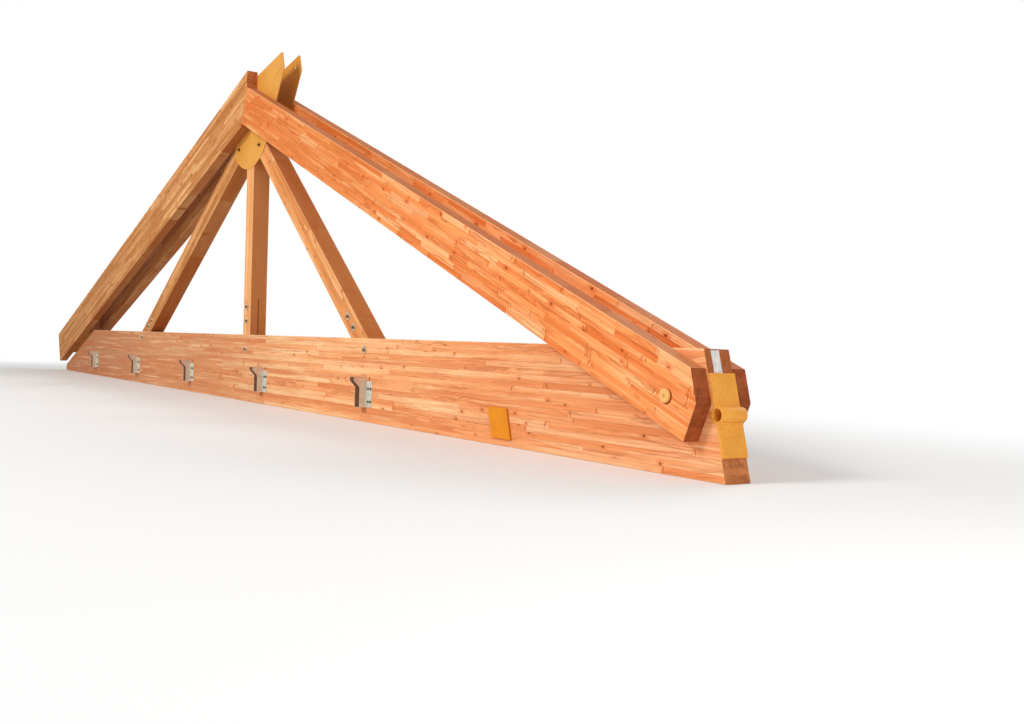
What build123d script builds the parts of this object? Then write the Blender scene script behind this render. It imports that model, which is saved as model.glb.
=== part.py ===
from build123d import *
import os
from math import atan, atan2, cos, degrees, radians, sin, tan

# Roof truss of glued laminated timber with steel plates, in millimetres.
# X runs along the truss, Y through its thickness with Y = 0 in the middle plane, Z is up.
# While it is drawn, X = 0 is the lower corner of the chord's right end.
# At the end everything is moved so that the origin is the bottom centre of the whole truss.

# Bottom chord
chord_depth = 566
chord_thickness = 150
chord_length = 12570
end_lean = 16

# Ridge and rafters. The heel heights are where the roof's upper edges pass the chord's ends
ridge_from_end = 5508
ridge_height = 2753
ridge_step = 137
rafter_thickness = 90
left_heel_height = 526.4
left_rafter_depth = 385
left_rafter_overhang = 105
right_heel_height = 424.1
right_rafter_depth = 303
right_rafter_setback = 114.6
timber_arris = 3
joint_gap = 1
end_setback = 8
heel_gap = 45

# King post and diagonals between the gusset plates
web_width = 160
gusset_thickness = 5
post_left_of_ridge = 124
post_above_node = 90
node_below_ridge = 443
left_foot_from_post = 3047
right_foot_from_post = 2155
web_joint_gap = 1

# Gusset plates at the ridge, measured from the upper ridge corner of the left rafters
gusset_radius = 502
gusset_centre_left = 153
gusset_centre_down = 278
gusset_arc_left_angle = 225
gusset_arc_right_angle = 319.4
fin_tip_out = 530
fin_tip_up = 66
fin_tip_radius = 22
fin_corner_out = 575
fin_corner_down = 68
fin_hole_out = 446
fin_hole_down = 21
fin_hole_radius = 11
gusset_back_left = 150
gusset_back_down = 54

# Bolts with their nuts
bolt_radius = 8
hole_clearance = 1
hex_across_flats = 24
bolt_head_height = 10
nut_height = 13

# Steel plates slotted into the web feet
foot_plate_thickness = 8
foot_plate_width = 96
foot_plate_up = 300
foot_plate_down = 155
slot_clearance = 1
slot_end_clearance = 3
first_bolt_from_foot = 117
bolt_spacing = 120
chord_bolt_from_foot = 125
left_apex_bolt_from_post = 259
right_apex_bolt_from_post = 206

# Heel pin and end fitting of the right end
pin_radius = 32.5
pin_clearance = 0.5
pin_stand_out = 10
pin_chamfer = 3
pin_centre_radius = 4
pin_centre_depth = 5
pin_from_rafter_end = 186
pin_below_axis = 21
end_plate_length = 370
end_plate_thickness = 12
tube_radius = 35
tube_wall = 6
tube_stand_out = 1
tube_seat_clearance = 1
knife_thickness = 15
knife_reach = 500
knife_height = 320

# Beam hangers screwed to the chord's near face
hanger_count = 5
first_hanger_from_left_end = 1700
last_hanger_from_right_end = 3366
hanger_bottom = 98
hanger_top = 302
hanger_outer_width = 74
hanger_steel = 4
cheek_reach_low = 53
cheek_reach_high = 95
cheek_slope_start = 235
cheek_slope_end = 279
wing_width = 80
wing_bottom = 103
wing_top = 277
wing_corner_radius = 8
notch_from_cheek = 36
notch_width = 14
notch_bottom = 280
notch_top = 308
notch_depth = 12

# Small plate on the chord's near face
side_plate_from_end = 1699
side_plate_width = 183
side_plate_bottom = 40
side_plate_height = 168
side_plate_thickness = 12

# Shoe and dowels of the left heel
shoe_length = 900
shoe_from_rafter_end = 420
shoe_flange_height = 190
shoe_plate_thickness = 8
shoe_base_thickness = 12
shoe_knife_length = 640
shoe_knife_down = 150
shoe_clearance = 1
dowel_radius = 10
dowel_clearance = 0.2
dowel_count = 2
dowel_spacing = 360
rafter_dowel_up = 110
chord_dowel_down = 80

half_chord = chord_thickness / 2
half_web = half_chord - gusset_thickness
half_total = half_chord + rafter_thickness
ridge_x = -ridge_from_end
post_x = ridge_x - post_left_of_ridge
node_z = ridge_height - node_below_ridge
left_run = chord_length - ridge_from_end
left_pitch = degrees(atan((ridge_height - left_heel_height) / left_run))
left_soffit_drop = left_rafter_depth / cos(radians(left_pitch))
left_rafter_length = (left_run + left_rafter_overhang) / cos(radians(left_pitch))
right_pitch = degrees(atan((ridge_height - ridge_step - right_heel_height) / ridge_from_end))


def moved(point, angle, distance):
    """Point at a distance from another one, along an angle above +X in the truss's plane."""
    return (point[0] + distance * cos(radians(angle)), point[1] + distance * sin(radians(angle)))


def prism(points, y_near, y_far):
    """Solid with the outline points (X, Z), from y_near to y_far."""
    plane = Plane(origin=(0, y_far, 0), x_dir=(1, 0, 0), z_dir=(0, -1, 0))
    return extrude(plane * make_face(Polyline(*points, close=True)), y_far - y_near)


def rod(point, radius, y_near, y_far):
    """Cylinder along Y through a point (X, Z)."""
    plane = Plane(origin=(point[0], y_far, point[1]), x_dir=(1, 0, 0), z_dir=(0, -1, 0))
    return extrude(plane * Circle(radius), y_far - y_near)


def hexagon(point, y_near, y_far):
    """Hexagonal prism along Y, as on a bolt head or nut."""
    plane = Plane(origin=(point[0], y_far, point[1]), x_dir=(1, 0, 0), z_dir=(0, -1, 0))
    return extrude(plane * RegularPolygon(hex_across_flats / 2, 6, major_radius=False), y_far - y_near)


def strip(start, angle, length, width, y_near, y_far):
    """Bar of a given width whose centre line starts at a point and runs along an angle."""
    end = moved(start, angle, length)
    points = [
        moved(start, angle + 90, width / 2),
        moved(start, angle - 90, width / 2),
        moved(end, angle - 90, width / 2),
        moved(end, angle + 90, width / 2),
    ]
    return prism(points, y_near, y_far)


def ease(timber, angle):
    """Breaks the long edges of a timber that runs along an angle."""
    along = Vector(cos(radians(angle)), 0, sin(radians(angle)))
    sides = timber.edges().filter_by(GeomType.LINE)
    long_edges = [e for e in sides if abs(e.tangent_at(0).dot(along)) > 0.9999 and e.length > 4 * chord_depth]
    return chamfer(long_edges, timber_arris)


def left_roof_z(x):
    """Height of the left rafters' upper edge."""
    return ridge_height + (x - ridge_x) * tan(radians(left_pitch))


def web_axis(foot_from_post):
    """Foot point on the chord and slope of a diagonal whose axis ends at the node."""
    foot = (post_x + foot_from_post, chord_depth)
    return foot, degrees(atan2(node_z - foot[1], post_x - foot[0]))


left_foot, left_angle = web_axis(-left_foot_from_post)
right_foot, right_angle = web_axis(right_foot_from_post)
post_foot = (post_x, chord_depth)
web_feet = {"post": (post_foot, 90), "left": (left_foot, left_angle), "right": (right_foot, right_angle)}

# Lower end of the right rafters, with the pin on the lower side of their axis
right_top = (ridge_x, ridge_height - ridge_step)
right_axis_top = moved(right_top, -right_pitch - 90, right_rafter_depth / 2)
right_rafter_length = (-right_axis_top[0] - right_rafter_setback) / cos(radians(right_pitch))
right_axis_end = moved(right_axis_top, -right_pitch, right_rafter_length)
pin_point = moved(
    moved(right_axis_end, -right_pitch, -pin_from_rafter_end), -right_pitch - 90, pin_below_axis
)

# Middle of the chord's leaning end face
end_up = 90 + end_lean
end_middle = moved((0, 0), end_up, chord_depth / cos(radians(end_lean)) / 2)
tube_point = moved(end_middle, end_lean, end_plate_thickness)

# Left rafters' lower end, and the shoe on their soffit
left_end_top = moved((ridge_x, ridge_height), 180 + left_pitch, left_rafter_length)
left_end_soffit = moved(left_end_top, left_pitch - 90, left_rafter_depth)
shoe_start = moved(left_end_soffit, left_pitch, shoe_from_rafter_end)
shoe_middle = moved(shoe_start, left_pitch, shoe_length / 2)


def foot_bolt_points(foot, angle):
    """Two bolts in the web and one in the chord, all on the web's axis."""
    return [
        moved(foot, angle, first_bolt_from_foot + bolt_spacing),
        moved(foot, angle, first_bolt_from_foot),
        moved(foot, angle, -chord_bolt_from_foot),
    ]


def apex_bolt_points():
    """One bolt through the upper end of each diagonal, on its axis."""
    left_x = post_x - left_apex_bolt_from_post
    right_x = post_x + right_apex_bolt_from_post
    return [
        (left_x, left_foot[1] + (left_x - left_foot[0]) * tan(radians(left_angle))),
        (right_x, right_foot[1] + (right_x - right_foot[0]) * tan(radians(right_angle))),
    ]


def heel_dowel_points(up):
    """Row of dowels along the shoe, at a height above its base or, if negative, below it."""
    row_start = moved(shoe_middle, left_pitch, -dowel_spacing * (dowel_count - 1) / 2)
    return [moved(moved(row_start, left_pitch, i * dowel_spacing), left_pitch + 90, up) for i in range(dowel_count)]


rafter_dowel_points = heel_dowel_points(rafter_dowel_up)
chord_dowel_points = heel_dowel_points(-heel_gap - chord_dowel_down)


def foot_slot(foot, angle, extra_side, extra_end):
    """Space of a slotted-in plate, with clearances, across the middle plane."""
    start = moved(foot, angle, -foot_plate_down - extra_end)
    half = foot_plate_thickness / 2 + extra_side
    length = foot_plate_down + foot_plate_up + 2 * extra_end
    return strip(start, angle, length, foot_plate_width + 2 * extra_end, -half, half)


def hanger_x(index):
    """Middle of a hanger, counted from the left, with all of them equally spaced."""
    spacing = (chord_length - first_hanger_from_left_end - last_hanger_from_right_end) / (hanger_count - 1)
    return -chord_length + first_hanger_from_left_end + index * spacing


def notch(index):
    """Short upright notch in the chord's face above a hanger's right wing."""
    x = hanger_x(index) + hanger_outer_width / 2 + notch_from_cheek
    start = (x, notch_bottom)
    return strip(start, 90, notch_top - notch_bottom, notch_width, -half_chord, -half_chord + notch_depth)


def tube_body(radius, stand_out):
    """Cross tube's cylinder at the chord's end, standing out of its side faces."""
    return rod(tube_point, radius, -half_chord - stand_out, half_chord + stand_out)


def knife_space(extra_side, extra_end):
    """Plate behind the end plate, let into the chord's end and held by the heel pin."""
    half = knife_thickness / 2 + extra_side
    low = moved(end_middle, end_up, -knife_height / 2 - extra_end)
    high = moved(end_middle, end_up, knife_height / 2 + extra_end)
    back = -knife_reach - extra_end
    return prism([low, high, (back, high[1]), (back, low[1])], -half, half)


def shoe_knife(extra_side, extra_end):
    """Plate below the shoe, let into the chord's sloping end."""
    half = knife_thickness / 2 + extra_side
    down = heel_gap + shoe_knife_down + extra_end
    start = moved(shoe_middle, left_pitch - 90, down / 2)
    start = moved(start, left_pitch, -shoe_knife_length / 2 - extra_end)
    return strip(start, left_pitch, shoe_knife_length + 2 * extra_end, down, -half, half)


def build_chord():
    """Chord with leaning right end, sloping left end, notches, slots and holes."""
    toe = left_roof_z(-chord_length) - left_soffit_drop - heel_gap
    slope_end = -chord_length + (chord_depth - toe) / tan(radians(left_pitch))
    points = [
        (-chord_length, 0),
        (0, 0),
        (-chord_depth * tan(radians(end_lean)), chord_depth),
        (slope_end, chord_depth),
        (-chord_length, toe),
    ]
    chord = ease(prism(points, -half_chord, half_chord), 0)
    for index in range(hanger_count):
        chord -= notch(index)
    for foot, angle in web_feet.values():
        chord -= foot_slot(foot, angle, slot_clearance, slot_end_clearance)
        chord -= rod(foot_bolt_points(foot, angle)[2], bolt_radius + hole_clearance, -half_chord, half_chord)
    chord -= knife_space(slot_clearance, slot_end_clearance)
    chord -= shoe_knife(slot_clearance, slot_end_clearance)
    for point in chord_dowel_points:
        chord -= rod(point, dowel_radius + dowel_clearance, -half_chord, half_chord)
    chord -= rod(pin_point, pin_radius + pin_clearance, -half_chord, half_chord)
    return chord - tube_body(tube_radius + tube_seat_clearance, 0)


def right_rafter_blank(gap):
    """Square-ended right rafter through the whole thickness, longer at the ridge by a gap."""
    start = moved(right_axis_top, 180 - right_pitch, gap)
    return strip(start, -right_pitch, right_rafter_length + gap, right_rafter_depth, -half_total, half_total)


def rafter_side(solid, side):
    """Near (-1) or far (1) rafter of a pair that was drawn through the whole thickness."""
    middle = side * (half_chord + rafter_thickness / 2)
    reach = 2 * chord_length
    return solid & Pos(ridge_x, middle, 0) * Box(reach, rafter_thickness, reach)


def build_right_rafter(side):
    """Square-cut at the ridge; at the heel the top is trimmed to the chord's leaning end."""
    corner = (-end_setback, 0)
    beyond = [
        moved(corner, end_up, -chord_depth),
        moved(corner, end_lean, 2 * chord_depth),
        moved(corner, end_up, 3 * chord_depth),
    ]
    blank = right_rafter_blank(0) - prism(beyond, -half_total, half_total)
    rafter = ease(rafter_side(blank, side), -right_pitch)
    return rafter - rod(pin_point, pin_radius + pin_clearance, -half_total, half_total)


def build_left_rafter(side):
    """Plumb at the ridge above the right rafter, and cut to its square end below."""
    start = moved((ridge_x, ridge_height), left_pitch - 90, left_rafter_depth / 2)
    start = moved(start, left_pitch, left_rafter_depth)
    length = left_rafter_length + left_rafter_depth
    blank = strip(start, 180 + left_pitch, length, left_rafter_depth, -half_total, half_total)
    ridge_low = moved(right_top, -right_pitch - 90, 2 * left_rafter_depth)
    beyond = [
        (ridge_x, ridge_height + left_rafter_depth),
        moved(right_top, 180 - right_pitch, joint_gap),
        moved(ridge_low, 180 - right_pitch, joint_gap),
        (ridge_x + 3 * left_rafter_depth, ridge_low[1]),
        (ridge_x + 3 * left_rafter_depth, ridge_height + left_rafter_depth),
    ]
    blank -= prism(beyond, -half_total, half_total)
    rafter = ease(rafter_side(blank, side), left_pitch)
    for point in rafter_dowel_points:
        rafter -= rod(point, dowel_radius + dowel_clearance, -half_total, half_total)
    return rafter


def build_web(points, foot, angle):
    """King post or diagonal with its slot and bolt holes."""
    web = prism(points, -half_web, half_web) - foot_slot(foot, angle, slot_clearance, slot_end_clearance)
    for point in foot_bolt_points(foot, angle)[:2]:
        web -= rod(point, bolt_radius + hole_clearance, -half_web, half_web)
    return web


def build_post():
    """King post between the gussets, standing on the chord, with its slot sawn through both sides."""
    left = post_x - web_width / 2
    right = post_x + web_width / 2
    top = node_z + post_above_node
    points = [(left, chord_depth), (right, chord_depth), (right, top), (left, top)]
    half = foot_plate_thickness / 2 + slot_clearance
    kerf = strip(post_foot, 90, foot_plate_up + slot_end_clearance, web_width, -half, half)
    return build_web(points, post_foot, 90) - kerf


def build_diagonal(foot, angle, side, apex_bolt):
    """Diagonal from the chord's top to the king post's side face."""
    face = post_x + side * (web_width / 2 + web_joint_gap)
    slope = tan(radians(angle))
    rise = abs(web_width / 2 / cos(radians(angle)))
    run = rise / slope
    points = [
        (foot[0] + run, foot[1]),
        (foot[0] - run, foot[1]),
        (face, foot[1] + (face - foot[0]) * slope + rise),
        (face, foot[1] + (face - foot[0]) * slope - rise),
    ]
    web = build_web(points, foot, angle)
    return web - rod(apex_bolt, bolt_radius + hole_clearance, -half_web, half_web)


def build_gusset(side):
    """Plate with a round foot, a straight right edge and a pointed fin above the right rafters."""
    centre = (ridge_x - gusset_centre_left, ridge_height - gusset_centre_down)
    arc_start = moved(centre, gusset_arc_left_angle, gusset_radius)
    arc_middle = moved(centre, (gusset_arc_left_angle + gusset_arc_right_angle) / 2, gusset_radius)
    arc_end = moved(centre, gusset_arc_right_angle, gusset_radius)
    corner = (ridge_x + fin_corner_out, ridge_height - fin_corner_down)
    tip = (ridge_x + fin_tip_out, ridge_height + fin_tip_up)
    back = (ridge_x - gusset_back_left, ridge_height - gusset_back_down)
    plane = Plane(origin=(0, 0, 0), x_dir=(1, 0, 0), z_dir=(0, -1, 0))
    outline = Curve() + [
        ThreePointArc(arc_start, arc_middle, arc_end),
        Polyline(arc_end, corner, tip, back, arc_start),
    ]
    face = make_face(outline)
    tip_corners = [v for v in face.vertices() if (v.center() - Vector(tip[0], tip[1], 0)).length < 1]
    tip_corners += [v for v in face.vertices() if (v.center() - Vector(corner[0], corner[1], 0)).length < 1]
    face = fillet(tip_corners, fin_tip_radius)
    y_far = half_chord if side > 0 else -half_web
    plate = Pos(0, y_far, 0) * extrude(plane * face, gusset_thickness)
    for point in apex_bolt_points():
        plate -= rod(point, bolt_radius + hole_clearance, y_far - gusset_thickness, y_far)
    hole = (ridge_x + fin_hole_out, ridge_height - fin_hole_down)
    return plate - rod(hole, fin_hole_radius, y_far - gusset_thickness, y_far)


def build_end_fitting():
    """End plate with its cross tube and the knife plate let into the chord."""
    start = moved(end_middle, end_up, -end_plate_length / 2)
    start = moved(start, end_lean, end_plate_thickness / 2)
    plate = strip(start, end_up, end_plate_length, end_plate_thickness, -half_chord, half_chord)
    fitting = plate + knife_space(0, 0) + tube_body(tube_radius, tube_stand_out)
    fitting -= tube_body(tube_radius - tube_wall, 2 * tube_stand_out)
    return fitting - rod(pin_point, pin_radius + pin_clearance, -knife_thickness, knife_thickness)


def build_pin():
    """Turned pin with chamfered ends and centre holes."""
    reach = half_total + pin_stand_out
    pin = rod(pin_point, pin_radius, -reach, reach)
    pin = chamfer(pin.edges().filter_by(GeomType.CIRCLE), pin_chamfer)
    for start, end in ((-reach, -reach + pin_centre_depth), (reach - pin_centre_depth, reach)):
        pin -= rod(pin_point, pin_centre_radius, start, end)
    return pin


def build_hanger(index):
    """Beam hanger: a seat between two cheeks that flare out at the top, and a wing at each side."""
    x = hanger_x(index)
    inner = hanger_outer_width / 2 - hanger_steel
    face = -half_chord
    cheek_outline = [
        (face, hanger_bottom),
        (face - cheek_reach_low, hanger_bottom),
        (face - cheek_reach_low, cheek_slope_start),
        (face - cheek_reach_high, cheek_slope_end),
        (face - cheek_reach_high, hanger_top),
        (face, hanger_top),
    ]
    seat_z = hanger_bottom + hanger_steel / 2
    hanger = Pos(x, face - cheek_reach_low / 2, seat_z) * Box(2 * inner, cheek_reach_low, hanger_steel)
    wing_height = wing_top - wing_bottom
    for side in (-1, 1):
        plane = Plane(origin=(x + side * (inner + hanger_steel / 2), 0, 0), x_dir=(0, 1, 0), z_dir=(1, 0, 0))
        cheek = make_face(Polyline(*cheek_outline, close=True))
        hanger += extrude(plane * cheek, hanger_steel / 2, both=True)
        wing_x = x + side * (hanger_outer_width + wing_width) / 2
        wing = Pos(wing_x, face - hanger_steel / 2, (wing_bottom + wing_top) / 2)
        wing *= Box(wing_width, hanger_steel, wing_height)
        outer_edges = wing.edges().filter_by(Axis.Y).sort_by(Axis.X)
        outer_edges = outer_edges[2:] if side > 0 else outer_edges[:2]
        hanger += fillet(outer_edges, wing_corner_radius)
    return hanger


def build_side_plate():
    """Small plate whose side edges lean like the chord's right end."""
    middle_z = side_plate_bottom + side_plate_height / 2
    lean = side_plate_height / 2 * tan(radians(end_lean))
    left = -side_plate_from_end - side_plate_width / 2
    right = left + side_plate_width
    low = middle_z - side_plate_height / 2
    high = middle_z + side_plate_height / 2
    points = [(left + lean, low), (right + lean, low), (right - lean, high), (left - lean, high)]
    return prism(points, -half_chord - side_plate_thickness, -half_chord)


def build_foot_plate(foot, angle):
    """Steel plate in the slots of a web's foot and the chord below it."""
    plate = foot_slot(foot, angle, 0, 0)
    for point in foot_bolt_points(foot, angle):
        plate -= rod(point, bolt_radius + hole_clearance, -foot_plate_thickness, foot_plate_thickness)
    return plate


def build_shoe():
    """Channel between the left rafters with a knife plate down into the chord."""
    inner = half_chord - shoe_clearance
    base_start = moved(shoe_start, left_pitch + 90, shoe_base_thickness / 2)
    shoe = strip(base_start, left_pitch, shoe_length, shoe_base_thickness, -inner, inner)
    flange_start = moved(shoe_start, left_pitch + 90, shoe_flange_height / 2)
    for y_near in (-inner, inner - shoe_plate_thickness):
        y_far = y_near + shoe_plate_thickness
        shoe += strip(flange_start, left_pitch, shoe_length, shoe_flange_height, y_near, y_far)
    shoe += shoe_knife(0, 0)
    for point in rafter_dowel_points + chord_dowel_points:
        shoe -= rod(point, dowel_radius + dowel_clearance, -half_chord, half_chord)
    return shoe


def bolt_set(points, half_grips):
    """Bolts with their heads far and their nuts near, for joints of given grips."""
    bolts = []
    for point, half_grip in zip(points, half_grips):
        bolt = rod(point, bolt_radius, -half_grip, half_grip)
        bolt += hexagon(point, half_grip, half_grip + bolt_head_height)
        bolts.append(bolt + hexagon(point, -half_grip - nut_height, -half_grip))
    return bolts


def dowels(points, reach):
    """Plain steel dowels, flush with both timber faces."""
    return [rod(point, dowel_radius, -reach, reach) for point in points]


left_apex_bolt, right_apex_bolt = apex_bolt_points()
pieces = {
    "bottom_chord": build_chord(),
    "near_left_rafter": build_left_rafter(-1),
    "far_left_rafter": build_left_rafter(1),
    "near_right_rafter": build_right_rafter(-1),
    "far_right_rafter": build_right_rafter(1),
    "king_post": build_post(),
    "left_diagonal": build_diagonal(left_foot, left_angle, -1, left_apex_bolt),
    "right_diagonal": build_diagonal(right_foot, right_angle, 1, right_apex_bolt),
    "near_apex_gusset": build_gusset(-1),
    "far_apex_gusset": build_gusset(1),
    "end_fitting": build_end_fitting(),
    "heel_pin": build_pin(),
    "side_plate": build_side_plate(),
    "left_heel_shoe": build_shoe(),
    "heel_rafter_dowels": dowels(rafter_dowel_points, half_total),
    "heel_chord_dowels": dowels(chord_dowel_points, half_chord),
}
for index in range(hanger_count):
    pieces["hanger_%d" % (index + 1)] = build_hanger(index)
for name, (foot, angle) in web_feet.items():
    pieces[name + "_foot_plate"] = build_foot_plate(foot, angle)
    grips = [half_web, half_web, half_chord]
    pieces[name + "_foot_bolts"] = bolt_set(foot_bolt_points(foot, angle), grips)
pieces["apex_bolts"] = bolt_set(apex_bolt_points(), [half_chord, half_chord])

# The whole truss is moved so that the middle of its lower side is the origin
solids = {}
for name, shape in pieces.items():
    solids[name] = Compound(children=shape) if isinstance(shape, list) else shape
box = Compound(children=[Compound(children=shape.solids()) for shape in solids.values()]).bounding_box()
to_origin = Pos(-(box.min.X + box.max.X) / 2, 0, -box.min.Z)

os.makedirs("parts", exist_ok=True)
for name, shape in solids.items():
    export_step(to_origin * shape, "parts/" + name + ".step")
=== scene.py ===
from math import atan2, cos, degrees, pi, radians, sin
import bmesh
import bpy
from mathutils import Matrix, Vector


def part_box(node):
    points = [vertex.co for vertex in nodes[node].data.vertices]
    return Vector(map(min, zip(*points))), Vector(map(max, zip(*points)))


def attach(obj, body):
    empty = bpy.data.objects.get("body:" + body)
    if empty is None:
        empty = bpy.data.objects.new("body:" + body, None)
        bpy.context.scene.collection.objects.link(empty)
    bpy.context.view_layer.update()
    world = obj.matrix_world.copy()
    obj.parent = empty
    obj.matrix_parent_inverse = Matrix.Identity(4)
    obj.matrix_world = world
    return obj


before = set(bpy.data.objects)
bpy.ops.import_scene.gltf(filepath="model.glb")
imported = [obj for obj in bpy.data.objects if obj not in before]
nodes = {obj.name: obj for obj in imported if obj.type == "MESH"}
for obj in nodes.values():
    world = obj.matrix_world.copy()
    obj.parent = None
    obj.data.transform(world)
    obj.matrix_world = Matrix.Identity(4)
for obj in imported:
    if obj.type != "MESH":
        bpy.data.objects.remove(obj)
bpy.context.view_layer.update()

# Slopes and sizes of the truss, in metres and degrees
LEFT_PITCH = 17.5
RIGHT_PITCH = 21.7
END_LEAN = 16
CHORD_DEPTH = 0.566
CHORD_HALF = 0.075
LEFT_DEPTH = 0.385
RIGHT_DEPTH = 0.303
WEB_WIDTH = 0.16
END_PLATE_THICKNESS = 0.012
HANGER_STEEL = 0.004
HANGER_HALF = 0.037
PLATE_BEVEL = 0.0008
FASTENER_BEVEL = 0.0006
BEVEL_ANGLE = 35
BEVEL_SEGMENTS = 2
BEVEL_MERGE = 1e-5
PIECE_MERGE = 1e-6

# Small fasteners, in metres. Profiles hold pairs of radius and distance along the axis
NUT_HEIGHT = 0.013
HEAD_HEIGHT = 0.010
WASHER_THICKNESS = 0.004
WASHER_BORE = 0.009
WASHER_RADIUS = 0.030
WASHER_SOFT = 0.001
WASHER_SIDES = 32
THREAD_CREST = 0.0074
THREAD_ROOT = 0.0066
THREAD_STEP = 0.0004
THREAD_STEPS = 13
THREAD_TIP = (0.0056, 0.0062)
ROUND_SIDES = 24
SCREW_COLUMNS = (0.029, 0.064)
SCREW_ROWS = (0.139, 0.227)
SCREW_FLANGE = [(0.0095, 0.0), (0.0095, 0.0008), (0.0085, 0.0016)]
SCREW_HEAD = [(0.0070, 0.0014), (0.0070, 0.0058), (0.0060, 0.0068)]
HEXAGON = 6
HEXAGON_TURN_PER_METRE = 40
NAIL_ROWS = (0.117, 0.183, 0.249)
NAIL_EDGE = (0.0034, 0.0022)
SUNK_HEAD = [(0.0068, 0.0), (0.0066, 0.0007), (0.0052, 0.0012), (0.0022, 0.0012), (0.0018, 0.0003)]
SUNK_SIDES = 20
END_SCREW_COLUMN = 0.052
END_SCREW_ROWS = (-0.16, -0.06, 0.06, 0.16)
WELD_RADIUS = 0.0045
WELD_RIPPLE = 0.0004
WELD_STEPS = 90
WELD_WAVE = 4
WELD_SIDES = 10
WELD_FROM_AXIS = 0.0352
WELD_OUT = 0.0125
WELD_INSET = 0.001

# Label on the chord's end, in metres, with its place along the leaning face
LABEL_WIDTH = 0.050
LABEL_CENTRE = -0.013
LABEL_LOW = 0.476
LABEL_HIGH = 0.583
LABEL_ROWS = 12
LABEL_COLUMNS = 6
LABEL_THICKNESS = 0.0004
LABEL_LIFT = 0.0009
LABEL_WAVE = 0.0007
LABEL_WAVES_UP = 5.0
LABEL_WAVES_ACROSS = 1.3
LABEL_CURL = 0.0006

# Score line on the near fin, as distances past the ridge and heights
SCORE_START = (0.331, 2.624)
SCORE_END = (0.499, 2.687)

# Photo camera: its place, its three axes and its lens
CAMERA_PLACE = Vector((9.4446, -3.315, 0.542))
CAMERA_RIGHT = Vector((0.56653, 0.82322, 0.03662))
CAMERA_DOWN = Vector((0.05828, 0.00430, -0.99829))
CAMERA_AHEAD = Vector((-0.82197, 0.56770, -0.04555))
PHOTO_WIDTH = 1024
PHOTO_HEIGHT = 724
FOCAL_PIXELS = 1057.19
CENTRE_X = 513.38
CENTRE_Y = 395.45
SENSOR = 36.0
CLIP_END = 500

X_AXIS = (1.0, 0.0, 0.0)
Y_AXIS = (0.0, 1.0, 0.0)
Z_AXIS = (0.0, 0.0, 1.0)
WHITE = (1.0, 1.0, 1.0)


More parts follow.
